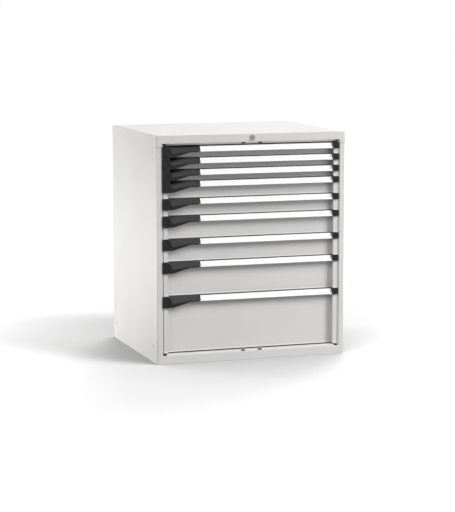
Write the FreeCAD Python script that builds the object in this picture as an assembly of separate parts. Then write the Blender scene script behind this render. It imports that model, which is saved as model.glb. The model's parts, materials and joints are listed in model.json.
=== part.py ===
import FreeCAD, Part

import math
import os

from FreeCAD import Vector

# A free-standing drawer cabinet: a sheet-steel housing, nine drawers on telescopic slides, and one
# central lock. Millimetres. X runs to the right, Y to the back and Z up. The origin lies on the floor
# under the middle of the housing.

# Housing
width = 870.0
depth = 725.0
height = 1000.0
sheet = 1.5
lid_skirt = 50.0
lid_overhang = 1.0
lid_gap = 1.5
lid_fit = 0.3
lid_edge_radius = 3.0
corner_radius = 2.5
upright_face = 21.6
bevel = 8.5
bevel_return = 10.0
opening_margin_top = 35.0
opening_margin_bottom = 37.0
back_flange = 18.0
neck_overlap = 8.0
neck_front_inset = 24.0
neck_back_inset = 3.0
floor_height = 28.0
base_foot_lip = 26.0

# Openings in the housing
frame_hole_width = 17.5
frame_hole_height = 6.5
frame_hole_middle = 39.0
side_slot_width = 5.0
side_slot_height = 18.0
side_slot_inset = 60.0
side_slot_rise = 73.0
side_slot_drop = 24.0
side_hole_diameter = 8.0
side_hole_inset = 82.0
side_hole_height = 22.5

# Drawer stack: nominal front heights from the top down. One more drawer fills the height that is left.
upper_fronts = [50.0, 50.0, 50.0, 75.0, 75.0, 100.0, 100.0, 150.0]
stack_gap = 0.5
stack_top_gap = 4.5
stack_bottom_gap = 2.0

# Drawer front and tray
front_side_gap = 0.9
front_strip_width = 19.5
front_strip_setback = 3.0
front_recess = 28.0
front_sheet = 1.2
front_lower_gap = 1.5
front_upper_gap = 3.0
front_lip_height = 4.5
front_lip_reach = 3.0
front_box_depth = 24.0
tray_width_margin = 105.0
tray_depth_margin = 113.0
tray_sheet = 1.2
tray_floor_rise = 6.5
tray_wall_drop = 8.0
tray_hem = 3.0
tray_hem_height = 7.0

# Telescopic slides: they let the whole depth of the tray out
slide_height = 38.0
slide_rise = 8.0
slide_sheet = 1.6
slide_start = 37.5
slide_spare = 48.0
carriage_lead = 3.0
carriage_sheet = 2.0
carriage_track = 3.0
slide_clearance = 0.35
slide_flange_gap = 1.6
post_depth = 36.0
post_sheet = 2.0
post_lip = 9.0
post_top_gap = 1.0
post_slot_width = 12.0
post_slot_height = 6.0
hook_reach = 3.5
hook_clearance = 0.4

# Handle profile, measured down from the top of its drawer and back from the housing front
handle_top = 0.3
handle_sheet = 2.0
handle_label_top = 2.0
handle_label_bottom = 24.5
handle_top_setback = 13.5
handle_bottom_setback = -2.0
handle_lip = 1.6
handle_lip_cover = 0.7
handle_back_flange = 12.0
handle_finger_bead = 5.0
label_thickness = 0.8
label_gap_left = 6.8
label_gap_right = 1.1

# Left grip and right end cap: the grip's lengths are measured from its left end
trim_side_reach = 3.5
trim_front = -7.0
trim_wall = 2.8
trim_edge_radius = 1.5
grip_length = 165.0
grip_drop = 48.5
grip_knee_low = 44.5
grip_knee_high = 124.5
grip_thin_drop = 27.5
grip_thin_front = -0.5
grip_facet_top = 28.5
grip_facet_low = 41.5
grip_facet_rise = 30.0
cap_length = 26.9
cap_front = -5.0
cap_drop = 26.5
cap_pocket = 1.0
cap_pocket_margin = 5.0

# Central lock
lock_drop = 18.0
lock_flange_diameter = 28.0
lock_flange = 2.2
lock_flange_chamfer = 0.8
lock_body_diameter = 22.0
lock_hole_clearance = 0.2
lock_rotor_diameter = 15.0
lock_rotor_clearance = 0.25
lock_rotor_proud = 0.8
keyway_width = 2.4
keyway_height = 9.0
keyway_depth = 3.0
lock_tail_diameter = 8.0
cam_diameter = 16.0
cam_thickness = 3.0
cam_pin_diameter = 4.0
crossmember_setback = 27.5
crossmember_flange = 6.5
crossmember_height = 38.0
crossmember_drop = 3.0

# Lock bar and its slider
lock_travel = 5.0
bar_width = 14.0
bar_thickness = 3.0
bar_side_gap = 9.5
bar_gap = 0.5
bar_pin_diameter = 5.0
bar_lower_inset = 7.0
bar_pin_drop = 18.0
finger_reach = 20.0
finger_thickness = 3.0
finger_rest_drop = 0.5
catch_width = 16.0
catch_thickness = 2.5
catch_gap = 1.0
catch_lower_gap = 1.8
slider_thickness = 3.0
slider_height = 15.0
slider_gap = 1.5
slider_end = 13.0
slider_end_left = 7.0
slot_clearance = 0.35
guide_height = 12.0
guide_wall = 1.5
guide_rise = 15.0
slider_guide_width = 14.0
slider_guides = [60.0, 330.0]

# Allowances in the drawing: how far a cutter runs past its face, how far joined shapes run into each
# other, and how near two places count as one
overcut = 1.0
bite = 1.0
close = 0.01
facet_reach = 12.0

# Places worked out from the sizes above
half_width = width / 2
front = -depth / 2
back = depth / 2
face_half = half_width - upright_face
opening_half = face_half - bevel
opening_top = height - opening_margin_top
opening_bottom = opening_margin_bottom
panel_top = height - lid_skirt - lid_gap
stack_top = opening_top - bevel - stack_top_gap
stack_bottom = opening_bottom + bevel + stack_bottom_gap
upper_stack = sum(upper_fronts) + stack_gap * len(upper_fronts)
front_heights = upper_fronts + [stack_top - stack_bottom - upper_stack - stack_gap]
front_half = opening_half - front_side_gap
strip_inner = front_half - front_strip_width
strip_front = front + front_strip_setback
panel_front = front + front_recess
tray_half = (width - tray_width_margin) / 2
tray_outer = tray_half + tray_sheet
tray_front = panel_front + front_sheet
tray_back = tray_front + depth - tray_depth_margin
slide_travel = tray_back - tray_front
slide_outer = opening_half
slide_front = front + slide_start
slide_length = slide_travel + slide_spare
slide_back = slide_front + slide_length
carriage_outer = slide_outer - slide_sheet - slide_clearance
carriage_inner = tray_outer + slide_clearance
slide_middle = (slide_outer + tray_outer) / 2
post_outer = half_width - sheet
lid_inner = half_width + lid_overhang - sheet
neck_outer = lid_inner - lid_fit
neck_inner = neck_outer - sheet
trim_half_width = front_half + trim_side_reach
grip_left = -trim_half_width
grip_right = grip_left + grip_length
cap_left = trim_half_width - cap_length
label_left = grip_right + label_gap_left
label_right = cap_left - label_gap_right
lock_height = height - lock_drop
crossmember_back = front + crossmember_setback + sheet
bar_front = crossmember_back + bar_gap
bar_back = bar_front + bar_thickness
bar_outer = post_outer - bar_side_gap
bar_inner = bar_outer - bar_width
slider_front = bar_back + slider_gap
slider_back = slider_front + slider_thickness
cam_pin_radius = lock_travel / (2 * math.sin(math.radians(45)))


# Shapes used throughout

def box(x0, x1, y0, y1, z0, z1):
    return Part.makeBox(x1 - x0, y1 - y0, z1 - z0, Vector(x0, y0, z0))


def prism(points, direction):
    """A straight solid on the closed outline through points."""
    outline = Part.makePolygon(points + [points[0]])
    return Part.Face(outline).extrude(direction)


def prism_x(points, x0, x1):
    return prism([Vector(x0, y, z) for y, z in points], Vector(x1 - x0, 0, 0))


def prism_y(points, y0, y1):
    return prism([Vector(x, y0, z) for x, z in points], Vector(0, y1 - y0, 0))


def prism_z(points, z0, z1):
    return prism([Vector(x, y, z0) for x, y in points], Vector(0, 0, z1 - z0))


def rod_y(x, z, diameter, y0, y1):
    return Part.makeCylinder(diameter / 2, y1 - y0, Vector(x, y0, z), Vector(0, 1, 0))


def mirrored(shape):
    return shape.mirror(Vector(0, 0, 0), Vector(1, 0, 0))


def joined(shapes):
    first = shapes[0]
    return first.multiFuse(shapes[1:]).removeSplitter()


def both_sides(shape):
    return [mirrored(shape), shape]


def folded(path, thickness):
    """Outline of a folded sheet: path is one face, and thickness lies on its left, or right if negative."""
    normals = []
    for (x0, y0), (x1, y1) in zip(path, path[1:]):
        length = math.hypot(x1 - x0, y1 - y0)
        normals.append((-(y1 - y0) / length, (x1 - x0) / length))
    far_side = []
    for index, (x, y) in enumerate(path):
        before = normals[max(index - 1, 0)]
        after = normals[min(index, len(normals) - 1)]
        spread = 1 + before[0] * after[0] + before[1] * after[1]
        shift_x = thickness * (before[0] + after[0]) / spread
        shift_y = thickness * (before[1] + after[1]) / spread
        far_side.append((x + shift_x, y + shift_y))
    return path + far_side[::-1]


def rounded(shape, radius, chosen):
    """Fillet the straight edges whose middle point passes the test."""
    edges = [edge for edge in shape.Edges if chosen(edge)]
    return shape.makeFillet(radius, edges)


def runs_along(edge, axis):
    ends = [vertex.Point for vertex in edge.Vertexes]
    if edge.Closed:
        return False
    span = ends[1] - ends[0]
    other = [abs(value) for place, value in enumerate(span) if place != axis]
    return abs(span[axis]) > close and max(other) < close


def middle_of(edge):
    return edge.CenterOfMass


def save(name, shapes):
    whole = shapes[0] if len(shapes) == 1 else Part.makeCompound(shapes)
    whole.exportStep(os.path.join("parts", name + ".step"))


# Housing

def mitre_cut(corner_z, up, inward):
    """A wedge that trims the front bevel along its 45 degree joint in the right-hand corner."""
    reach = opening_margin_top + opening_margin_bottom
    along = (reach, reach * up)
    aside = (-reach, reach * up) if inward else (reach, -reach * up)
    points = [
        (face_half + along[0], corner_z + along[1]),
        (face_half - along[0], corner_z - along[1]),
        (face_half + aside[0], corner_z + aside[1]),
    ]
    return prism_y(points, front - reach, front + reach)


def upright_bevel(face_front, z0, z1):
    """The folded edge beside the drawers, on the right."""
    path = [
        (face_half, face_front),
        (opening_half, face_front + bevel),
        (opening_half, face_front + bevel + bevel_return),
    ]
    return prism_z(folded(path, -sheet), z0, z1)


def rail_bevel(face_front, face_z, rise):
    """The folded edge above or below the drawers; rise is -1 under the lid and +1 on the base."""
    path = [
        (face_front, face_z),
        (face_front + bevel, face_z + rise * bevel),
        (face_front + bevel + bevel_return, face_z + rise * bevel),
    ]
    solid = prism_x(folded(path, -rise * sheet), -face_half, face_half)
    cut = mitre_cut(face_z, -rise, False)
    return solid.cut(cut).cut(mirrored(cut))


def frame_holes(face_z, rise):
    """Rectangular holes through the bevel, one at each end and two in the middle."""
    end_middle = opening_half - frame_hole_width / 2 + bevel / 2
    z0 = min(face_z, face_z + rise * bevel) + (bevel - frame_hole_height) / 2
    holes = []
    for centre in (-end_middle, -frame_hole_middle, frame_hole_middle, end_middle):
        x0 = centre - frame_hole_width / 2
        x1 = x0 + frame_hole_width
        holes.append(box(x0, x1, front - bevel, front + bevel + sheet, z0, z0 + frame_hole_height))
    return holes


def make_lid():
    half_x = half_width + lid_overhang
    half_y = depth / 2 + lid_overhang
    skirt_bottom = height - lid_skirt
    below = skirt_bottom - overcut
    shell = box(-half_x, half_x, -half_y, half_y, skirt_bottom, height)
    shell = rounded(shell, lid_edge_radius, lambda edge: middle_of(edge).z > skirt_bottom + overcut)
    hollow = box(-lid_inner, lid_inner, -half_y + sheet, half_y - sheet, below, height - sheet)
    notch = box(-face_half, face_half, -half_y - overcut, -half_y + sheet + overcut, below, opening_top)
    shell = shell.cut(hollow).cut(notch)
    side = upright_bevel(-half_y, skirt_bottom, opening_top + bevel)
    side = side.cut(mitre_cut(opening_top, 1, True))
    lid = joined([shell, rail_bevel(-half_y, opening_top, -1)] + both_sides(side))
    for hole in frame_holes(opening_top, -1):
        lid = lid.cut(hole)
    lock_hole = lock_body_diameter + 2 * lock_hole_clearance
    return lid.cut(rod_y(0, lock_height, lock_hole, -half_y - overcut, -half_y + sheet + overcut))


def make_base():
    """The welded foot frame (two sills and two runners) and the floor sheet on top of it."""
    path = [
        (front + base_foot_lip, 0.0),
        (front, 0.0),
        (front, opening_bottom),
    ]
    face = prism_x(folded(path, -sheet), -face_half, face_half)
    sill = joined([face, rail_bevel(front, opening_bottom, 1)])
    for hole in frame_holes(opening_bottom, 1):
        sill = sill.cut(hole)
    rear_face = back - 2 * sheet
    rear_inner = rear_face - sheet
    rear_path = [
        (back - base_foot_lip, 0.0),
        (rear_face, 0.0),
        (rear_face, opening_bottom + bevel),
        (back - base_foot_lip, opening_bottom + bevel),
    ]
    rear = prism_x(folded(rear_path, sheet), -post_outer, post_outer)
    floor = box(-post_outer, post_outer, front + sheet, rear_inner, floor_height, floor_height + sheet)
    corner = upright_face + bevel
    for side in (-1, 1):
        x0 = side * half_width - (corner if side > 0 else 0)
        floor = floor.cut(box(x0, x0 + corner, front, front + bevel + bevel_return + sheet, 0, panel_top))
    runner_path = [
        (post_outer - base_foot_lip, 0.0),
        (post_outer, 0.0),
        (post_outer, floor_height),
    ]
    runner = prism_y(folded(runner_path, sheet), front + base_foot_lip, back - base_foot_lip)
    return [joined([sill, rear] + both_sides(runner.cut(side_hole()))), floor]


def side_hole():
    """The round hole low in the right-hand side, through the panel and the base behind it."""
    start = Vector(half_width - base_foot_lip / 2, back - side_hole_inset, side_hole_height)
    return Part.makeCylinder(side_hole_diameter / 2, base_foot_lip, start, Vector(1, 0, 0))


def make_side_panel():
    """The right-hand side with its upright, folded from one sheet."""
    path = [
        (half_width - back_flange, back),
        (half_width, back),
        (half_width, front),
        (face_half, front),
    ]
    wall = prism_z(folded(path, -sheet), 0, panel_top)
    at_corner = lambda edge: runs_along(edge, 2) and abs(middle_of(edge).x - half_width) < close
    wall = rounded(wall, corner_radius, at_corner)
    upright = upright_bevel(front, 0, panel_top).cut(mitre_cut(opening_bottom, -1, True))
    neck = box(
        neck_inner, neck_outer, front + neck_front_inset, back - neck_back_inset,
        panel_top - neck_overlap, height - sheet,
    )
    panel = joined([wall, upright, neck])
    for y in (front + side_slot_inset, back - side_slot_inset):
        for z in (side_slot_rise, panel_top - side_slot_drop):
            y0 = y - side_slot_width / 2
            y1 = y0 + side_slot_width
            z0 = z - side_slot_height / 2
            z1 = z0 + side_slot_height
            panel = panel.cut(box(neck_inner - overcut, half_width + overcut, y0, y1, z0, z1))
    return panel.cut(side_hole())


def make_back_panel():
    y0 = back - 2 * sheet
    y1 = back - sheet
    panel = box(-post_outer, post_outer, y0, y1, 0, panel_top)
    neck = box(-neck_inner, neck_inner, y0, y1, panel_top - bite, height - sheet)
    return joined([panel, neck])


def make_crossmember():
    top = height - sheet - crossmember_drop
    path = [
        (crossmember_back - sheet - crossmember_flange, top - crossmember_height),
        (crossmember_back, top - crossmember_height),
        (crossmember_back, top),
        (crossmember_back - sheet - crossmember_flange, top),
    ]
    channel = prism_x(folded(path, sheet), -neck_inner, neck_inner)
    tail_hole = lock_tail_diameter + 2 * lock_rotor_clearance
    hole_front = crossmember_back - sheet - overcut
    return channel.cut(rod_y(0, lock_height, tail_hole, hole_front, crossmember_back + overcut))


# Drawer stack

def drawer_tops():
    tops = []
    top = stack_top
    for nominal in front_heights:
        tops.append(top)
        top -= nominal + stack_gap
    return tops


def slide_level(bottom):
    """Underside of a drawer's slides."""
    return bottom + slide_rise


def make_posts():
    """Four folded posts with a slot for each hook of the fixed rails."""
    z0 = floor_height + sheet
    z1 = panel_top - neck_overlap - post_top_gap
    posts = []
    for y0 in (slide_front, slide_back - post_depth):
        path = [
            (post_outer, y0 + post_lip),
            (post_outer, y0),
            (slide_outer, y0),
            (slide_outer, y0 + post_depth),
            (post_outer, y0 + post_depth),
            (post_outer, y0 + post_depth - post_lip),
        ]
        post = prism_z(folded(path, -post_sheet), z0, z1)
        for bottom in drawer_bottoms():
            level = slide_level(bottom) + slide_height / 2
            slot = box(
                slide_outer - overcut, slide_outer + post_sheet + overcut,
                y0 + (post_depth - post_slot_width) / 2, y0 + (post_depth + post_slot_width) / 2,
                level - post_slot_height / 2, level + post_slot_height / 2,
            )
            post = post.cut(slot)
        posts.append(post)
    return posts + [mirrored(post) for post in posts]


def drawer_bottoms():
    return [top - nominal - stack_gap for top, nominal in zip(drawer_tops(), front_heights)]


def make_cabinet_rail(bottom):
    """The fixed member of the right-hand slide, hooked into its two posts."""
    z0 = slide_level(bottom)
    z1 = z0 + slide_height
    tip = slide_middle + slide_flange_gap / 2
    path = [(tip, z0), (slide_outer, z0), (slide_outer, z1), (tip, z1)]
    rail = prism_y(folded(path, slide_sheet), slide_front, slide_back)
    hooks = []
    for y0 in (slide_front, slide_back - post_depth):
        level = (z0 + z1) / 2
        y_start = y0 + (post_depth - post_slot_width) / 2 + hook_clearance
        y_end = y0 + (post_depth + post_slot_width) / 2 - hook_clearance
        low = level - post_slot_height / 2 + hook_clearance
        high = level + post_slot_height / 2 - hook_clearance
        hooks.append(box(slide_outer - bite, slide_outer + hook_reach, y_start, y_end, low, high))
    return joined([rail] + hooks)


def make_carriage(bottom):
    """The moving middle member of the right-hand slide, with a rounded track on each edge."""
    z0 = slide_level(bottom) + slide_sheet + slide_clearance
    z1 = z0 + slide_height - 2 * (slide_sheet + slide_clearance)
    y0 = slide_front - carriage_lead
    y1 = y0 + slide_length
    half_web = carriage_sheet / 2
    pieces = [box(slide_middle - half_web, slide_middle + half_web, y0, y1, z0 + bite, z1 - bite)]
    for low in (z0, z1 - carriage_sheet):
        pieces.append(box(carriage_inner, carriage_outer, y0, y1, low, low + carriage_sheet))
    lip = carriage_sheet + carriage_track
    for x0 in (carriage_inner, carriage_outer - carriage_sheet):
        pieces.append(box(x0, x0 + carriage_sheet, y0, y1, z0, z0 + lip))
        pieces.append(box(x0, x0 + carriage_sheet, y0, y1, z1 - lip, z1))
    return joined(pieces)


def front_section(z, y_shift):
    """Plan outline of a drawer front: a strip at each side and a recessed panel between them."""
    box_back = strip_front + front_box_depth
    path = [
        (-front_half, box_back),
        (-front_half, strip_front),
        (-strip_inner, strip_front),
        (-strip_inner, panel_front),
        (strip_inner, panel_front),
        (strip_inner, strip_front),
        (front_half, strip_front),
        (front_half, box_back),
    ]
    return [Vector(x, y + y_shift, z) for x, y in folded(path, front_sheet)]


def make_drawer_front(bottom, top):
    lip_bottom = bottom + front_lower_gap
    lip_top = lip_bottom + front_lip_height
    main = prism(front_section(lip_top, 0), Vector(0, 0, top - front_upper_gap - lip_top))
    lip = prism(front_section(lip_bottom, -front_lip_reach), Vector(0, front_lip_reach, front_lip_height))
    return joined([main, lip])


def make_tray(bottom, top):
    """One drawer's body: the front, the floor, the rear wall and the two side walls."""
    floor_z = bottom + tray_floor_rise
    wall_top = top - tray_wall_drop
    rear_end = tray_back + tray_sheet
    floor = box(-tray_half, tray_half, tray_front, tray_back, floor_z, floor_z + tray_sheet)
    rear = box(-tray_half, tray_half, tray_back, rear_end, floor_z, wall_top)
    hem = box(-tray_half, tray_half, tray_back, tray_back + tray_hem, wall_top - tray_hem_height, wall_top)
    wall = box(tray_half, tray_outer, tray_front, rear_end, floor_z, wall_top)
    low = slide_level(bottom)
    tip = slide_middle - slide_flange_gap / 2
    member_front = slide_front - carriage_lead
    web = box(tray_half, tray_outer, member_front, rear_end, low, low + slide_height)
    side = [wall, web]
    for z in (low, low + slide_height - slide_sheet):
        side.append(box(tray_half, tip, member_front, rear_end, z, z + slide_sheet))
    sides = both_sides(joined(side))
    return [make_drawer_front(bottom, top), floor, joined([rear, hem])] + sides + [make_catch(bottom)]


def make_catch(bottom):
    """The tab welded under the left slide member, which the lock bar's finger stops."""
    y0 = bar_back + catch_gap
    outer = front_half - front_sheet
    return box(
        -outer, catch_width - outer, y0, y0 + catch_thickness,
        bottom + catch_lower_gap, slide_level(bottom),
    )


# Handle and label

def handle_face(top):
    """The sloping face of the label: its upper and lower points, and the directions down and out of it."""
    upper = (front + handle_top_setback, top - handle_label_top)
    lower = (front + handle_bottom_setback, top - handle_label_bottom)
    length = math.hypot(lower[0] - upper[0], lower[1] - upper[1])
    down = ((lower[0] - upper[0]) / length, (lower[1] - upper[1]) / length)
    out = (down[1], -down[0])
    return upper, lower, down, out


def moved(point, along, distance):
    return point[0] + along[0] * distance, point[1] + along[1] * distance


def face_depth(top, z):
    """Where the plane of the label's outer face lies, front to back, at height z."""
    upper, lower, down, out = handle_face(top)
    return lower[0] + (z - lower[1]) * down[0] / down[1]


def make_label(top):
    upper, lower, down, out = handle_face(top)
    points = [upper, lower, moved(lower, out, -label_thickness), moved(upper, out, -label_thickness)]
    return prism_x(points, label_left, label_right)


def make_handle(top):
    """The extruded profile: back flange, top web, sloping label seat with two lips, and finger bead."""
    upper, lower, down, out = handle_face(top)
    top_z = top + handle_top
    seat_upper = moved(upper, out, -label_thickness)
    seat_lower = moved(lower, out, -label_thickness)
    shoulder = moved(seat_upper, down, (top_z - seat_upper[1]) / down[1])
    chin = moved(seat_lower, down, handle_lip)
    path = [
        (panel_front, top_z - handle_sheet - handle_back_flange),
        (panel_front, top_z),
        shoulder,
        chin,
        (chin[0] + handle_finger_bead, chin[1]),
    ]
    pieces = [prism_x(folded(path, handle_sheet), grip_right, cap_left)]
    lip_out = label_thickness + handle_lip_cover
    for seat, away in ((seat_upper, -handle_lip), (seat_lower, handle_lip)):
        outer = moved(seat, out, lip_out)
        points = [moved(seat, out, -handle_sheet / 2), outer, moved(outer, down, away)]
        points.append(moved(points[0], down, away))
        lip = prism_x(points, grip_right, cap_left)
        pieces.append(lip)
    crown = box(grip_right, cap_left, front + trim_front, panel_front, top_z, top_z + handle_sheet)
    return joined(pieces).cut(crown)


# Left grip and right end cap

def facet_cut(top):
    """What is sliced off the grip in front of its sloping facet."""
    reach = facet_reach
    high_z = top + reach
    low_z = top - grip_drop
    ahead = front + trim_front - reach
    outline = [
        (face_depth(top, low_z), low_z),
        (ahead, low_z),
        (ahead, high_z),
        (face_depth(top, high_z), high_z),
    ]
    wedge = prism_x(outline, grip_left, grip_right + reach)
    lean = (grip_facet_low - grip_facet_top) / grip_facet_rise
    high_x = grip_left + grip_facet_top - lean * reach
    low_x = grip_left + grip_facet_top + lean * grip_drop
    kept = [(high_x, high_z), (low_x, low_z), (grip_left - reach, low_z), (grip_left - reach, high_z)]
    return wedge.cut(prism_y(kept, ahead - reach, panel_front))


def lip_taper(top):
    """What is sliced off the grip's front, so that its lip runs back to the profile."""
    ahead = front + trim_front - overcut
    low_x = grip_left + grip_knee_low
    outline = [
        (low_x, front + trim_front),
        (grip_left + grip_knee_high, front + grip_thin_front),
        (grip_right + overcut, front + grip_thin_front),
        (grip_right + overcut, ahead),
        (low_x, ahead),
    ]
    return prism_z(outline, top - grip_drop - overcut, top + handle_top + overcut)


def toe_cut(bottom, low):
    """Room for the lip along the drawer front's lower edge, where the grip reaches down to it."""
    lip_bottom = bottom + front_lower_gap
    lip_top = lip_bottom + front_lip_height
    slope = front_lip_reach / front_lip_height
    low_y = strip_front - slope * (lip_top - low + overcut)
    outline = [
        (strip_front, lip_top),
        (low_y, low - overcut),
        (panel_front + overcut, low - overcut),
        (panel_front + overcut, lip_top),
    ]
    return prism_x(outline, grip_left - overcut, grip_left + grip_knee_high)


def grip_hollow(top):
    """The space behind the sloping wall and the lip, where the fingers go."""
    low = top - grip_drop
    lip_inner = front + grip_thin_front + trim_wall
    wall_run = trim_wall / handle_face(top)[3][0]
    ceiling = top + handle_top - trim_wall
    bend_z = top - handle_label_bottom
    bend_y = max(lip_inner, face_depth(top, bend_z) - wall_run)
    outline = [
        (bend_y, low - overcut),
        (panel_front + overcut, low - overcut),
        (panel_front + overcut, ceiling),
        (face_depth(top, ceiling) - wall_run, ceiling),
        (bend_y, bend_z),
    ]
    return prism_x(outline, -strip_inner + trim_wall, grip_right + overcut)


def make_grip(bottom, top):
    """The moulded grip: a full-height block at the left, a sloping facet and a lip rising to the right."""
    top_z = top + handle_top
    low = top - grip_drop
    thin = top - grip_thin_drop
    outline = [
        (grip_left, top_z),
        (grip_left, low),
        (grip_left + grip_knee_low, low),
        (grip_left + grip_knee_high, thin),
        (grip_right, thin),
        (grip_right, top_z),
    ]
    solid = prism_y(outline, front + trim_front, panel_front)
    at_left_end = lambda edge: runs_along(edge, 2) and middle_of(edge).x < grip_left + bite
    solid = rounded(solid, trim_edge_radius, at_left_end)
    solid = solid.cut(facet_cut(top)).cut(lip_taper(top))
    over_strip = box(
        grip_left - overcut, -strip_inner, strip_front, panel_front + overcut, low - overcut, top_z + overcut
    )
    solid = solid.cut(over_strip).cut(grip_hollow(top))
    if low < bottom + front_lower_gap + front_lip_height:
        solid = solid.cut(toe_cut(bottom, low))
    return solid


def make_cap(top):
    """The small block that closes the right end of the handle."""
    top_z = top + handle_top
    low = top - cap_drop
    solid = box(cap_left, trim_half_width, front + cap_front, strip_front, low, top_z)
    at_outer_end = lambda edge: (
        runs_along(edge, 2) and middle_of(edge).x > cap_left + bite and middle_of(edge).y < front
    )
    solid = rounded(solid, trim_edge_radius, at_outer_end)
    plate = box(cap_left, strip_inner, front + cap_front + trim_edge_radius, panel_front, low, top_z)
    pocket = box(
        cap_left + cap_pocket_margin, trim_half_width - cap_pocket_margin,
        front + cap_front - overcut, front + cap_front + cap_pocket,
        low + cap_pocket_margin, top_z - cap_pocket_margin,
    )
    return joined([solid, plate]).cut(pocket)


# Central lock

def make_lock_housing():
    lid_front = front - lid_overhang
    flange = rod_y(0, lock_height, lock_flange_diameter, lid_front - lock_flange, lid_front)
    round_edges = [edge for edge in flange.Edges if edge.Closed]
    front_rim = min(round_edges, key=lambda edge: middle_of(edge).y)
    flange = flange.makeChamfer(lock_flange_chamfer, [front_rim])
    body = rod_y(0, lock_height, lock_body_diameter, lid_front, crossmember_back - sheet)
    bore_diameter = lock_rotor_diameter + 2 * lock_rotor_clearance
    bore = rod_y(0, lock_height, bore_diameter, lid_front - lock_flange - overcut, crossmember_back)
    return joined([flange, body]).cut(bore)


def cam_pin_place():
    """The cam's pin, 45 degrees left of upright: a quarter turn ends 45 degrees to the right."""
    offset = cam_pin_radius * math.sin(math.radians(45))
    return -offset, lock_height + offset


def make_lock_cylinder():
    """The rotor with its keyway, its tail through the crossmember, and the cam with its pin."""
    face_y = front - lid_overhang - lock_flange - lock_rotor_proud
    rotor_back = crossmember_back - sheet - lock_rotor_clearance
    rotor = rod_y(0, lock_height, lock_rotor_diameter, face_y, rotor_back)
    keyway = box(
        -keyway_width / 2, keyway_width / 2, face_y - overcut, face_y + keyway_depth,
        lock_height - keyway_height / 2, lock_height + keyway_height / 2,
    )
    cam_front = crossmember_back + lock_rotor_clearance
    cam_back = cam_front + cam_thickness
    tail = rod_y(0, lock_height, lock_tail_diameter, crossmember_back - 2 * sheet, cam_front + bite)
    cam = rod_y(0, lock_height, cam_diameter, cam_front, cam_back)
    pin_x, pin_z = cam_pin_place()
    pin = rod_y(pin_x, pin_z, cam_pin_diameter, cam_back - bite, slider_back)
    return joined([rotor.cut(keyway), tail, cam, pin])


def slotted(x0, z0, x1, z1, diameter, y0, y1):
    """A round-ended slot cutter between two points."""
    ends = [rod_y(x0, z0, diameter, y0, y1), rod_y(x1, z1, diameter, y0, y1)]
    length = math.hypot(x1 - x0, z1 - z0)
    side_x = -(z1 - z0) / length * diameter / 2
    side_z = (x1 - x0) / length * diameter / 2
    points = [
        (x0 + side_x, z0 + side_z),
        (x1 + side_x, z1 + side_z),
        (x1 - side_x, z1 - side_z),
        (x0 - side_x, z0 - side_z),
    ]
    return joined(ends + [prism_y(points, y0, y1)])


def bar_pin_place():
    return -(bar_outer + bar_inner) / 2, height - bar_pin_drop


def make_slider():
    """The flat bar that carries the cam's stroke to the lock bar through a 45 degree slot."""
    pin_x, pin_z = bar_pin_place()
    z0 = lock_height - slider_height / 2
    bar = box(-bar_outer - slider_end_left, slider_end, slider_front, slider_back, z0, z0 + slider_height)
    y0 = slider_front - overcut
    y1 = slider_back + overcut
    cam_x, cam_z = cam_pin_place()
    cam_slot = slotted(
        cam_x, cam_z - slot_clearance, cam_x, lock_height + cam_pin_radius + slot_clearance,
        cam_pin_diameter + 2 * slot_clearance, y0, y1,
    )
    ramp = slotted(
        pin_x, pin_z, pin_x - lock_travel, pin_z + lock_travel,
        bar_pin_diameter + 2 * slot_clearance, y0, y1,
    )
    return bar.cut(cam_slot).cut(ramp)


def make_lock_bar():
    """The upright bar, the pin that lifts it, and a finger under each drawer's catch."""
    pin_x, pin_z = bar_pin_place()
    lowest = drawer_bottoms()[-1] - bar_lower_inset
    bar = box(-bar_outer, -bar_inner, bar_front, bar_back, lowest, pin_z + bar_width / 2)
    fingers = []
    for bottom in drawer_bottoms():
        z1 = bottom - finger_rest_drop
        x1 = -bar_inner + finger_reach
        fingers.append(box(-bar_inner, x1, bar_front, bar_back, z1 - finger_thickness, z1))
    return [bar, rod_y(pin_x, pin_z, bar_pin_diameter, bar_back, slider_back)] + fingers


def make_bar_guides():
    """Small brackets on the front left post that keep the lock bar upright."""
    guides = []
    bottoms = drawer_bottoms()
    for bottom in (bottoms[0], bottoms[len(bottoms) // 2], bottoms[-1]):
        z0 = bottom + guide_rise
        z1 = z0 + guide_height
        x0 = -bar_outer - slot_clearance
        x1 = -bar_inner + slot_clearance
        y0 = bar_front - slot_clearance
        block = box(x0 - guide_wall, x1 + guide_wall, y0 - guide_wall, slide_front, z0, z1)
        passage = box(x0, x1, y0, bar_back + slot_clearance, z0 - overcut, z1 + overcut)
        guides.append(block.cut(passage))
    return guides


def make_slider_guides():
    """Brackets on the back of the crossmember that carry the slider."""
    z0 = lock_height - slider_height / 2 - slot_clearance
    z1 = z0 + slider_height + 2 * slot_clearance
    y1 = slider_back + slot_clearance
    guides = []
    for distance in slider_guides:
        x0 = -distance - slider_guide_width / 2
        x1 = x0 + slider_guide_width
        block = box(x0, x1, crossmember_back, y1 + guide_wall, z0 - guide_wall, z1 + guide_wall)
        passage = box(x0 - overcut, x1 + overcut, slider_front - slot_clearance, y1, z0, z1)
        guides.append(block.cut(passage))
    return guides


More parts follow.
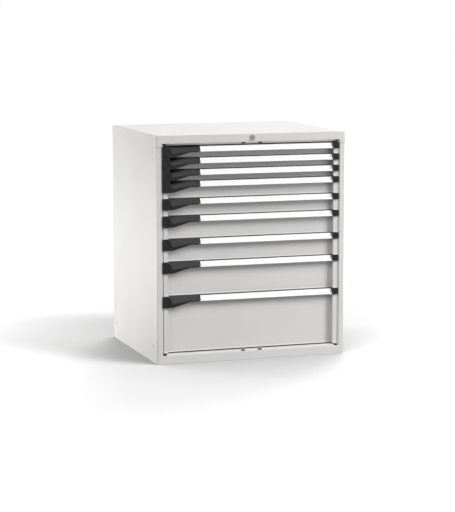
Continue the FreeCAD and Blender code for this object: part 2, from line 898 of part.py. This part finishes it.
def main():
    os.makedirs("parts", exist_ok=True)
    side_panel = make_side_panel()
    save("lid", [make_lid()])
    save("base_frame", make_base())
    save("left_side_panel", [mirrored(side_panel)])
    save("right_side_panel", [side_panel])
    save("back_panel", [make_back_panel()])
    save("top_crossmember", [make_crossmember()])
    save("slide_posts", make_posts())
    rails = [make_cabinet_rail(bottom) for bottom in drawer_bottoms()]
    save("left_cabinet_rails", [mirrored(rail) for rail in rails])
    save("right_cabinet_rails", rails)
    save("lock_housing", [make_lock_housing()])
    save("lock_cylinder", [make_lock_cylinder()])
    save("lock_slider", [make_slider()])
    save("lock_bar", make_lock_bar())
    save("lock_guides", make_bar_guides() + make_slider_guides())
    for number, (top, bottom) in enumerate(zip(drawer_tops(), drawer_bottoms()), start=1):
        name = "drawer_%d_" % number
        save(name + "tray", make_tray(bottom, top))
        save(name + "carriages", both_sides(make_carriage(bottom)))
        save(name + "handle", [make_handle(top)])
        save(name + "label", [make_label(top)])
        save(name + "grip_and_cap", [make_grip(bottom, top), make_cap(top)])


main()
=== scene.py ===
"""Looks of a nine-drawer workshop cabinet in powder-coated sheet steel.

The studio is measured in metres and the cabinet in millimetres, which MM turns to metres.
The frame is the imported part: x runs left to right, y front to back and z up, with the origin on the
floor under the middle. Angles are in degrees.
"""

import json
import math

import bmesh
import bpy
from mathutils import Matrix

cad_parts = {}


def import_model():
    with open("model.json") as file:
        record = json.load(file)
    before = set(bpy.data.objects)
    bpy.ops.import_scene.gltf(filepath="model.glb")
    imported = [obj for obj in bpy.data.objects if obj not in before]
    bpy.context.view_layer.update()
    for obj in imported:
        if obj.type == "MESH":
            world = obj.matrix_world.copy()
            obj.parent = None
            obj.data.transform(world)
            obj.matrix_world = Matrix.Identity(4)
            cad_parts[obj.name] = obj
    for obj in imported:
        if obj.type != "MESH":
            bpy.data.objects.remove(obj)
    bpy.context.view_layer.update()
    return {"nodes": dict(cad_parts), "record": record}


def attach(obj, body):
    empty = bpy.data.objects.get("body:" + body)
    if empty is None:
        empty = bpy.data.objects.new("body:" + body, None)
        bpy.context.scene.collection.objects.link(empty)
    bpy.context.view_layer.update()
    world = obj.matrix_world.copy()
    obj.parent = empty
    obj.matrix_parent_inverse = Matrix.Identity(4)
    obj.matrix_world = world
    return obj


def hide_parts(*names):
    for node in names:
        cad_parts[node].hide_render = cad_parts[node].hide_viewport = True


MM = 0.001

# Camera, at the photograph's place and angle

IMAGE_LONG_SIDE = 512
FOCAL_PIXELS = 1877.5
SENSOR = 36.0
CAMERA_PLACE = (-2.7082, -8.0811, 1.6002)
CAMERA_TURN = 18.581
CAMERA_DIP = 7.932
CAMERA_REACH = 200

# Studio floor and world

FLOOR_SIZE = 60.0
FLOOR_DROP = 0.0005
FLOOR_OWN = "#B4B4B4"
FLOOR_ROUGHNESS = 0.9
FLOOR_SHOWN = 1.3
# How far the floor's painted shade reaches: to the camera, ambient occlusion darkens the floor's colour
# near the cabinet
FLOOR_PAINTED_SHADE_REACH = 0.85
WORLD_LIGHT = 0.05

# Far lamps: azimuth from the front, positive to the right, height, and watts per square metre

LAMP_BREADTH = 30
FAR_LAMPS = {
    "right_key_softbox": (45, 35, 1.8),
    "front_high_fill": (0, 45, 0.2),
    "front_low_fill": (20, 28, 0.1),
    "left_fill": (-45, 35, 0.9),
    "rear_softbox": (150, 35, 1.2),
}

# Near lamps: place, aim, size and watts

NEAR_LAMPS = {
    "right_near_softbox": ((2.2, -2.0, 1.0), (0.4, -0.36, 0.5), 1.4, 20),
    "left_low_softbox": ((-2.2, 1.6, 0.2), (-0.436, 0.1, 0.4), 0.35, 46),
}

# Patterns: the part of the noise's range that is used, and how rough the noise is

NOISE_LOW = 0.3
NOISE_HIGH = 0.7
NOISE_ROUGHNESS = 0.55

# Meshes: how near corners merge, how flat one face is, and which edges are bends, sharp or smooth

MERGE_DISTANCE = 0.01
SLIVER = 0.005
FLAT_ANGLE = 0.3
BEND_ANGLE = 35
BEND_SEGMENTS = 3
BEND_FACET = 1.3
SHARP_ANGLE = 40
SMOOTH_ANGLE = 50

# Pieces with the real ones' bends and edges: bend radius, least breadth beside a bend, broken edge

REFINED = {
    "lid": (0.0, 0.0, 0.25),
    "base_frame": (0.5, 4.0, 0.25),
    "side_panel": (0.0, 0.0, 0.25),
    "back_panel": (0.0, 0.0, 0.25),
    "top_crossmember": (0.0, 0.0, 0.25),
    "slide_posts": (1.0, 4.0, 0.25),
    "lock_housing": (0.0, 0.0, 0.25),
    "lock_cylinder": (0.0, 0.0, 0.25),
    "tray": (0.0, 0.0, 0.2),
    "handle": (0.5, 1.2, 0.15),
    "label": (0.0, 0.0, 0.2),
    "grip_and_cap": (0.7, 2.6, 0.25),
    "carriages": (0.6, 1.9, 0.15),
    "cabinet_rails": (0.7, 3.0, 0.2),
}

# Black bars on each handle, painted shade for the shadowed gap between two drawers: distance from its
# back and its top, breadth, thickness and slope

DRAWERS = 9
BAR_CLEARANCE = 0.1
BAR_ROUNDING = 0.25
BAR_SEGMENTS = 2
PAINTED_SHADE_BARS = {
    "painted_shade_tongue": (22.25, 13.55, 27.3, 1.3, 55.4),
    "painted_shade_rail": (7.85, -0.25, 8.3, 0.5, 0.0),
    "painted_shade_edge": (14.59, 0.66, 2.6, 0.6, 55.4),
}

# Pads behind the slots and holes: material slot, size, slope and places. The black pads are painted shade
# for the dark inside of the openings

SLOT_MIDDLES = (-400.3, -39.0, 39.0, 400.3)
SLOT_PAD = (17.4, 8.6, 0.8)
SIDE_PADS = (-433, 433)
PADS = {
    "lid_slot_painted_shade_pads": ("black_plastic", SLOT_PAD, -45, [(x, -357.85, 960.75) for x in SLOT_MIDDLES]),
    "base_slot_painted_shade_pads": ("black_plastic", SLOT_PAD, 45, [(x, -356.84, 41.25) for x in SLOT_MIDDLES]),
    "side_hole_painted_shade_pads": ("black_plastic", (0.8, 9.5, 9.5), 0, [(x, 280.5, 22.5) for x in SIDE_PADS]),
    "side_slot_pads": (
        "grey_powder_coat", (0.8, 7.0, 20.0), 0,
        [(x, y, z) for x in SIDE_PADS for y in (-302.5, 302.5) for z in (73, 926)],
    ),
}

# Blind rivets of the back panel

RIVET_INSET = 9.0
RIVET_LEVELS = range(60, 941, 110)
RIVET_SIDES = 20
RIVET_RADIUS = 4.7
RIVET_DEPTH = 1.0
RIVET_SHOULDER = 0.9
RIVET_DOME = 0.35
MANDREL_SHOULDER = 2.2
MANDREL_SINK = 0.8
FACES_BACK = 0.9


def metres(values):
    return [value * MM for value in values]


def limits(frame, node):
    """The least and the greatest x, y and z of a CAD node, in millimetres."""
    places = [vertex.co / MM for vertex in frame["nodes"][node].data.vertices]
    return [[end(place[axis] for place in places) for axis in range(3)] for end in (min, max)]


# Materials

def linear(hex_colour):
    """An sRGB hex colour as linear red, green, blue and alpha."""
    values = []
    for start in (1, 3, 5):
        part = int(hex_colour[start:start + 2], 16) / 255
        values.append(part / 12.92 if part <= 0.04045 else ((part + 0.055) / 1.055) ** 2.4)
    return (*values, 1.0)


def new_material(name, colour, roughness, metallic=0.0):
    """A material with a Principled shader, its nodes and links ready to be added to."""
    material = bpy.data.materials.new(name)
    material.use_nodes = True
    shader = material.node_tree.nodes["Principled BSDF"]
    shader.inputs["Base Color"].default_value = linear(colour)
    shader.inputs["Roughness"].default_value = roughness
    shader.inputs["Metallic"].default_value = metallic
    return material, shader


def add_node(material, kind, settings=None, values=None, links=None):
    """Adds one node, with its settings, its input values and its links in from other nodes' outputs."""
    node = material.node_tree.nodes.new(kind)
    for name, value in (settings or {}).items():
        setattr(node, name, value)
    for name, value in (values or {}).items():
        node.inputs[name].default_value = value
    for name, output in (links or {}).items():
        material.node_tree.links.new(output, node.inputs[name])
    return node


def link(material, output, socket):
    material.node_tree.links.new(output, socket)


def grain(material, size_mm, stretch=(1.0, 1.0, 1.0), detail=2.0):
    """Noise on the object's own coordinates whose features are size_mm across."""
    place = add_node(material, "ShaderNodeTexCoord")
    stretched = add_node(
        material, "ShaderNodeMapping",
        values={"Scale": stretch}, links={"Vector": place.outputs["Object"]},
    )
    return add_node(
        material, "ShaderNodeTexNoise",
        values={"Scale": 1 / (size_mm * MM), "Detail": detail, "Roughness": NOISE_ROUGHNESS},
        links={"Vector": stretched.outputs["Vector"]},
    )


def add_bump(material, shader, height, strength, depth_mm):
    bump = add_node(
        material, "ShaderNodeBump",
        values={"Strength": strength, "Distance": depth_mm * MM}, links={"Height": height},
    )
    link(material, bump.outputs["Normal"], shader.inputs["Normal"])


def vary(material, shader, socket, factor, low, high):
    """Drives one of the shader's numbers from low to high with a pattern."""
    spread = add_node(
        material, "ShaderNodeMapRange",
        values={"From Min": NOISE_LOW, "From Max": NOISE_HIGH, "To Min": low, "To Max": high},
        links={"Value": factor},
    )
    link(material, spread.outputs["Result"], shader.inputs[socket])


def tint(material, shader, factor, dark, light):
    """Drives the base colour between two close shades with a pattern."""
    ramp = add_node(material, "ShaderNodeValToRGB", links={"Fac": factor})
    ends = zip(ramp.color_ramp.elements, (NOISE_LOW, NOISE_HIGH), (dark, light))
    for element, position, shade in ends:
        element.position = position
        element.color = linear(shade)
    link(material, ramp.outputs["Color"], shader.inputs["Base Color"])


def powder_coat():
    """Baked polyester powder on sheet steel: even light grey, satin, with a soft orange-peel ripple.
    The real ripple is about 2 mm across. It is drawn at 7 mm so that it shows at this size."""
    material, shader = new_material("light_grey_powder_coat", "#D3D2D0", roughness=0.5)
    peel = grain(material, 7.0, detail=3.0)
    add_bump(material, shader, peel.outputs["Fac"], strength=0.12, depth_mm=0.25)
    cloud = grain(material, 160.0)
    tint(material, shader, cloud.outputs["Fac"], "#D2D1CF", "#D5D4D2")
    vary(material, shader, "Roughness", cloud.outputs["Fac"], 0.46, 0.54)
    return material


def anodised_aluminium():
    """Extruded handle profile, natural anodised: silky grey metal with die lines along its length.
    The real lines are about 0.2 mm apart. They are drawn at 1.2 mm so that they show."""
    material, shader = new_material("natural_anodised_aluminium", "#A4A6A7", roughness=0.5, metallic=0.9)
    lines = grain(material, 1.2, stretch=(0.01, 1.0, 1.0), detail=4.0)
    add_bump(material, shader, lines.outputs["Fac"], strength=0.25, depth_mm=0.05)
    vary(material, shader, "Roughness", lines.outputs["Fac"], 0.45, 0.55)
    return material


def label_card():
    """White card strip under a clear coat: bright and smooth with a faint paper mottle."""
    material, shader = new_material("white_label_card", "#F4F4F4", roughness=0.35)
    mottle = grain(material, 9.0)
    tint(material, shader, mottle.outputs["Fac"], "#F2F2F1", "#F6F6F6")
    shader.inputs["Coat Weight"].default_value = 0.6
    shader.inputs["Coat Roughness"].default_value = 0.12
    return material


def black_abs():
    """Injection-moulded ABS: near black with a satin sheen, finely pitted by its spark-eroded mould.
    The real pits are about 0.3 mm across. They are drawn at 1.6 mm so that they show."""
    material, shader = new_material("black_textured_abs", "#161617", roughness=0.22)
    pits = grain(material, 1.6)
    add_bump(material, shader, pits.outputs["Fac"], strength=0.2, depth_mm=0.12)
    tint(material, shader, pits.outputs["Fac"], "#151516", "#181819")
    return material


def zinc_plate():
    """Bright zinc plating on rolled steel: pale bluish metal with a patchy sheen."""
    material, shader = new_material("zinc_plated_steel", "#B9BDC0", roughness=0.36, metallic=1.0)
    patches = grain(material, 22.0, detail=4.0)
    tint(material, shader, patches.outputs["Fac"], "#AEB2B5", "#C4C8CB")
    vary(material, shader, "Roughness", patches.outputs["Fac"], 0.28, 0.44)
    return material


def satin_zinc_casting():
    """Die-cast lock housing, satin chromed: soft grey metal with a fine mottle."""
    material, shader = new_material("satin_chromed_zinc", "#A3A3A2", roughness=0.5, metallic=1.0)
    mottle = grain(material, 3.0, detail=3.0)
    vary(material, shader, "Roughness", mottle.outputs["Fac"], 0.45, 0.55)
    return material


def nickel_brass():
    """Nickel-plated brass lock plug: smoother, darker and slightly warmer than its housing."""
    material, shader = new_material("nickel_plated_brass", "#8E8E8C", roughness=0.45, metallic=1.0)
    mottle = grain(material, 2.0, detail=3.0)
    vary(material, shader, "Roughness", mottle.outputs["Fac"], 0.4, 0.5)
    return material


def finishes():
    """The finish of each material slot in the record."""
    return {
        "grey_powder_coat": powder_coat(),
        "zinc_plated_steel": zinc_plate(),
        "anodised_aluminium": anodised_aluminium(),
        "label_strip": label_card(),
        "black_plastic": black_abs(),
        "lock_zinc": satin_zinc_casting(),
        "lock_nickel": nickel_brass(),
    }


def dress_nodes(frame, finish):
    """Every CAD node gets its slot's finish."""
    for row in frame["record"]["subparts"]:
        piece = frame["nodes"][row["node"]]
        piece.data.materials.clear()
        piece.data.materials.append(finish[row["material_slot"]])


# Modelling

def only(piece):
    """Selects just this piece and makes it the one being worked on."""
    bpy.ops.object.select_all(action="DESELECT")
    piece.select_set(True)
    bpy.context.view_layer.objects.active = piece


def merged_copy(source, name):
    """A CAD node's mesh as a new piece, its loose triangles merged to whole flat faces."""
    piece = bpy.data.objects.new(name, source.data.copy())
    bpy.context.scene.collection.objects.link(piece)
    only(piece)
    bpy.ops.object.mode_set(mode="EDIT")
    bpy.ops.mesh.select_all(action="SELECT")
    bpy.ops.mesh.remove_doubles(threshold=MERGE_DISTANCE * MM)
    bpy.ops.mesh.dissolve_limited(angle_limit=math.radians(FLAT_ANGLE))
    bpy.ops.object.mode_set(mode="OBJECT")
    return piece


def is_fold(edge, breadth_mm):
    """An outer bend or corner between two faces that are both broader than the sheet is thick."""
    if len(edge.link_faces) != 2:
        return False
    if edge.calc_face_angle_signed() < math.radians(BEND_ANGLE):
        return False
    return all(face.calc_area() > breadth_mm * MM * edge.calc_length() for face in edge.link_faces)


def round_folds(piece, radius_mm, breadth_mm):
    """Gives the outer bends their radius."""
    only(piece)
    bpy.ops.object.mode_set(mode="EDIT")
    bpy.ops.mesh.select_mode(type="EDGE")
    bpy.ops.mesh.select_all(action="DESELECT")
    mesh = bmesh.from_edit_mesh(piece.data)
    for edge in mesh.edges:
        edge.select_set(is_fold(edge, breadth_mm))
    bmesh.update_edit_mesh(piece.data)
    bpy.ops.mesh.bevel(offset=radius_mm * MM, segments=BEND_SEGMENTS, affect="EDGES")
    bpy.ops.object.mode_set(mode="OBJECT")


def soften(piece, width_mm):
    """Breaks every sharp edge by a hair and shades the bends smooth, while broad faces stay flat."""
    only(piece)
    bevel = piece.modifiers.new("broken_edges", "BEVEL")
    bevel.width = width_mm * MM
    bevel.segments = 1
    bevel.limit_method = "ANGLE"
    bevel.angle_limit = math.radians(SHARP_ANGLE)
    bpy.ops.object.modifier_apply(modifier=bevel.name)
    bpy.ops.object.mode_set(mode="EDIT")
    bpy.ops.mesh.select_all(action="SELECT")
    bpy.ops.mesh.dissolve_degenerate(threshold=SLIVER * MM)
    bpy.ops.object.mode_set(mode="OBJECT")
    bpy.ops.object.shade_smooth_by_angle(angle=math.radians(SMOOTH_ANGLE))
    shade_broad_faces_flat(piece)


def shade_broad_faces_flat(piece):
    """A face broader than a bend's facet is a flat sheet face."""
    mesh = piece.data
    for face in mesh.polygons:
        ends = [mesh.vertices[index].co for index in face.vertices]
        around = sum((a - b).length for a, b in zip(ends, ends[1:] + ends[:1]))
        if 2 * face.area > BEND_FACET * MM * around:
            face.use_smooth = False


def finish_piece(piece, finish, slot, body, *nodes):
    """Gives a piece its slot's finish and its body, and lets it stand for its CAD nodes."""
    piece.data.materials.clear()
    piece.data.materials.append(finish[slot])
    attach(piece, body)
    if nodes:
        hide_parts(*nodes)


def refine_nodes(frame, finish):
    """Copies of the CAD nodes with softened bends and edges, each on its node's body."""
    bodies = frame["record"]["behaviour"]["bodies"]
    home = {node: body for body, nodes in bodies.items() for node in nodes}
    for row in frame["record"]["subparts"]:
        node = row["node"]
        sizes = [value for ending, value in REFINED.items() if node.endswith(ending)]
        if not sizes:
            continue
        radius, breadth, edge = sizes[0]
        piece = merged_copy(frame["nodes"][node], node + "_finished")
        if radius:
            round_folds(piece, radius, breadth)
        soften(piece, edge)
        finish_piece(piece, finish, row["material_slot"], home[node], node)


def rounded_bar(name, middle, size, slope):
    """A thin bar, its edges rounded by a share of its thickness."""
    bpy.ops.object.select_all(action="DESELECT")
    bpy.ops.mesh.primitive_cube_add(
        size=1, location=metres(middle), rotation=(math.radians(slope), 0, 0),
    )
    piece = bpy.context.object
    piece.name = name
    piece.scale = metres(size)
    bpy.ops.object.transform_apply(location=True, rotation=True, scale=True)
    bpy.ops.object.mode_set(mode="EDIT")
    bpy.ops.mesh.select_all(action="SELECT")
    rounding = BAR_ROUNDING * min(size) * MM
    bpy.ops.mesh.bevel(offset=rounding, segments=BAR_SEGMENTS, affect="EDGES")
    bpy.ops.object.mode_set(mode="OBJECT")
    bpy.ops.object.shade_smooth_by_angle(angle=math.radians(SMOOTH_ANGLE))
    return piece


def painted_shade_bars(frame, finish):
    """Black bars that are painted shade: they go on from each grip and draw the dark line between two
    drawers, where there is only a shadowed gap:
    a tongue in the label seat, a flat rail over the profile and an edge along its upper lip."""
    for number in range(1, DRAWERS + 1):
        drawer = "drawer_%d" % number
        (left, _, _), (right, back, top) = limits(frame, drawer + "_handle")
        label_left = limits(frame, drawer + "_label")[0][0]
        # Each bar is painted shade: a black sheet where the gap above the label lies in shadow
        for ending, (forward, below, breadth, thickness, slope) in PAINTED_SHADE_BARS.items():
            start = left + BAR_CLEARANCE
            end = (label_left if ending == "painted_shade_tongue" else right) - BAR_CLEARANCE
            piece = rounded_bar(
                "%s_%s" % (drawer, ending), ((start + end) / 2, back - forward, top - below),
                (end - start, breadth, thickness), slope,
            )
            finish_piece(piece, finish, "black_plastic", drawer)


def copies_at(piece, places, name):
    """One piece made of copies of a small part, each at its place."""
    parts = []
    for place in places:
        part = piece.copy()
        part.data = piece.data.copy()
        bpy.context.scene.collection.objects.link(part)
        part.location = metres(place)
        parts.append(part)
    bpy.data.objects.remove(piece)
    bpy.ops.object.select_all(action="DESELECT")
    for part in parts:
        part.select_set(True)
    bpy.context.view_layer.objects.active = parts[0]
    bpy.ops.object.transform_apply(location=True, rotation=True, scale=True)
    bpy.ops.object.join()
    parts[0].name = name
    bpy.ops.object.shade_smooth_by_angle(angle=math.radians(SHARP_ANGLE))
    return parts[0]


def pads(finish):
    """Pads close behind the sheet's slots and holes, which stay open. The black ones are painted shade:
    dark sheets that stand for the shade inside the openings.
    """
    for name, (slot, size, slope, places) in PADS.items():
        pad = rounded_bar(name, (0, 0, 0), size, slope)
        finish_piece(copies_at(pad, places, name), finish, slot, "cabinet")


def blind_rivet():
    """A closed blind rivet that faces the back, its mandrel's end sunk in the middle of its flange."""
    bpy.ops.object.select_all(action="DESELECT")
    bpy.ops.mesh.primitive_cylinder_add(
        vertices=RIVET_SIDES, radius=RIVET_RADIUS * MM, depth=RIVET_DEPTH * MM,
        location=(0, 0, 0), rotation=(math.radians(90), 0, 0),
    )
    piece = bpy.context.object
    bpy.ops.object.transform_apply(location=True, rotation=True, scale=True)
    bpy.ops.object.mode_set(mode="EDIT")
    bpy.ops.mesh.select_mode(type="FACE")
    bpy.ops.mesh.select_all(action="DESELECT")
    mesh = bmesh.from_edit_mesh(piece.data)
    for face in mesh.faces:
        face.select_set(face.normal.y > FACES_BACK)
    bmesh.update_edit_mesh(piece.data)
    bpy.ops.mesh.inset(thickness=RIVET_SHOULDER * MM)
    bpy.ops.transform.translate(value=(0, RIVET_DOME * MM, 0))
    bpy.ops.mesh.inset(thickness=MANDREL_SHOULDER * MM)
    bpy.ops.mesh.extrude_region_move(TRANSFORM_OT_translate={"value": (0, -MANDREL_SINK * MM, 0)})
    bpy.ops.object.mode_set(mode="OBJECT")
    return piece


def back_rivets(frame, finish):
    """Blind rivets that hold the back panel to the flanges of the sides."""
    side_face, back_face, _ = limits(frame, "right_side_panel")[1]
    column = side_face - RIVET_INSET
    middle = back_face + RIVET_DEPTH / 2
    places = [(x, middle, level) for x in (-column, column) for level in RIVET_LEVELS]
    rivets = copies_at(blind_rivet(), places, "back_rivets")
    finish_piece(rivets, finish, "zinc_plated_steel", "cabinet")


# Studio

def studio_floor():
    """A plain white floor. It shows white to the camera where no shadow falls, and keeps the shadow. To
    the camera its colour is also darkened near the cabinet by painted shade, an ambient occlusion.
    """
    bpy.ops.object.select_all(action="DESELECT")
    bpy.ops.mesh.primitive_plane_add(size=FLOOR_SIZE, location=(0, 0, -FLOOR_DROP))
    floor = bpy.context.object
    floor.name = "studio_floor"
    material, shader = new_material("white_studio_floor", FLOOR_OWN, FLOOR_ROUGHNESS)
    shader.inputs["Specular IOR Level"].default_value = 0.0
    path = add_node(material, "ShaderNodeLightPath")
    mix = add_node(
        material, "ShaderNodeMix", settings={"data_type": "RGBA"},
        links={"Factor": path.outputs["Is Camera Ray"]},
    )
    own, shown = [socket for socket in mix.inputs if socket.type == "RGBA"]
    own.default_value = linear(FLOOR_OWN)
    # Painted shade: the colour the camera sees is darkened by ambient occlusion near the cabinet
    painted_floor_shade = add_node(
        material, "ShaderNodeAmbientOcclusion",
        values={"Color": (FLOOR_SHOWN, FLOOR_SHOWN, FLOOR_SHOWN, 1), "Distance": FLOOR_PAINTED_SHADE_REACH},
    )
    link(material, painted_floor_shade.outputs["Color"], shown)
    shade = [socket for socket in mix.outputs if socket.type == "RGBA"][0]
    link(material, shade, shader.inputs["Base Color"])
    floor.data.materials.append(material)


def studio_world():
    """White wherever the camera, a gloss or a glass looks; a softer even light for everything else."""
    world = bpy.data.worlds.new("studio_world")
    bpy.context.scene.world = world
    world.use_nodes = True
    background = world.node_tree.nodes["Background"]
    background.inputs["Color"].default_value = (1, 1, 1, 1)
    path = add_node(world, "ShaderNodeLightPath")
    seen = path.outputs["Is Camera Ray"]
    for ray in ("Is Glossy Ray", "Is Transmission Ray"):
        either = add_node(
            world, "ShaderNodeMath", settings={"operation": "MAXIMUM"},
            links={0: seen, 1: path.outputs[ray]},
        )
        seen = either.outputs[0]
    strength = add_node(
        world, "ShaderNodeMapRange", values={"To Min": WORLD_LIGHT, "To Max": 1.0}, links={"Value": seen},
    )
    link(world, strength.outputs["Result"], background.inputs["Strength"])


def softbox(name, place, aim, size, power):
    """A square area lamp at a place, turned towards an aim."""
    data = bpy.data.lights.new(name, "AREA")
    data.shape = "SQUARE"
    data.size = size
    data.energy = power
    lamp = bpy.data.objects.new(name, data)
    bpy.context.scene.collection.objects.link(lamp)
    lamp.location = place
    across, along, up = (end - start for start, end in zip(place, aim))
    tilt = math.pi / 2 + math.atan2(up, math.hypot(across, along))
    lamp.rotation_euler = (tilt, 0, math.atan2(-across, along))


def far_lamp(name, azimuth, height, strength):
    """A lamp far away, as broad as a large softbox looks from the cabinet."""
    data = bpy.data.lights.new(name, "SUN")
    data.energy = strength
    data.angle = math.radians(LAMP_BREADTH)
    lamp = bpy.data.objects.new(name, data)
    bpy.context.scene.collection.objects.link(lamp)
    lamp.rotation_euler = (math.radians(90 - height), 0, math.radians(azimuth))


def studio_camera():
    data = bpy.data.cameras.new("photo_camera")
    data.sensor_width = SENSOR
    data.lens = FOCAL_PIXELS * SENSOR / IMAGE_LONG_SIDE
    data.clip_end = CAMERA_REACH
    camera = bpy.data.objects.new("photo_camera", data)
    bpy.context.scene.collection.objects.link(camera)
    camera.location = CAMERA_PLACE
    camera.rotation_euler = (math.radians(90 - CAMERA_DIP), 0, math.radians(-CAMERA_TURN))
    bpy.context.scene.camera = camera


def studio():
    bpy.context.scene.view_settings.view_transform = "Standard"
    studio_floor()
    studio_world()
    for name, (azimuth, height, strength) in FAR_LAMPS.items():
        far_lamp(name, azimuth, height, strength)
    for name, (place, aim, size, watts) in NEAR_LAMPS.items():
        softbox(name, place, aim, size, watts)
    studio_camera()


def main():
    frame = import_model()
    finish = finishes()
    dress_nodes(frame, finish)
    refine_nodes(frame, finish)
    painted_shade_bars(frame, finish)
    pads(finish)
    back_rivets(frame, finish)
    studio()


main()
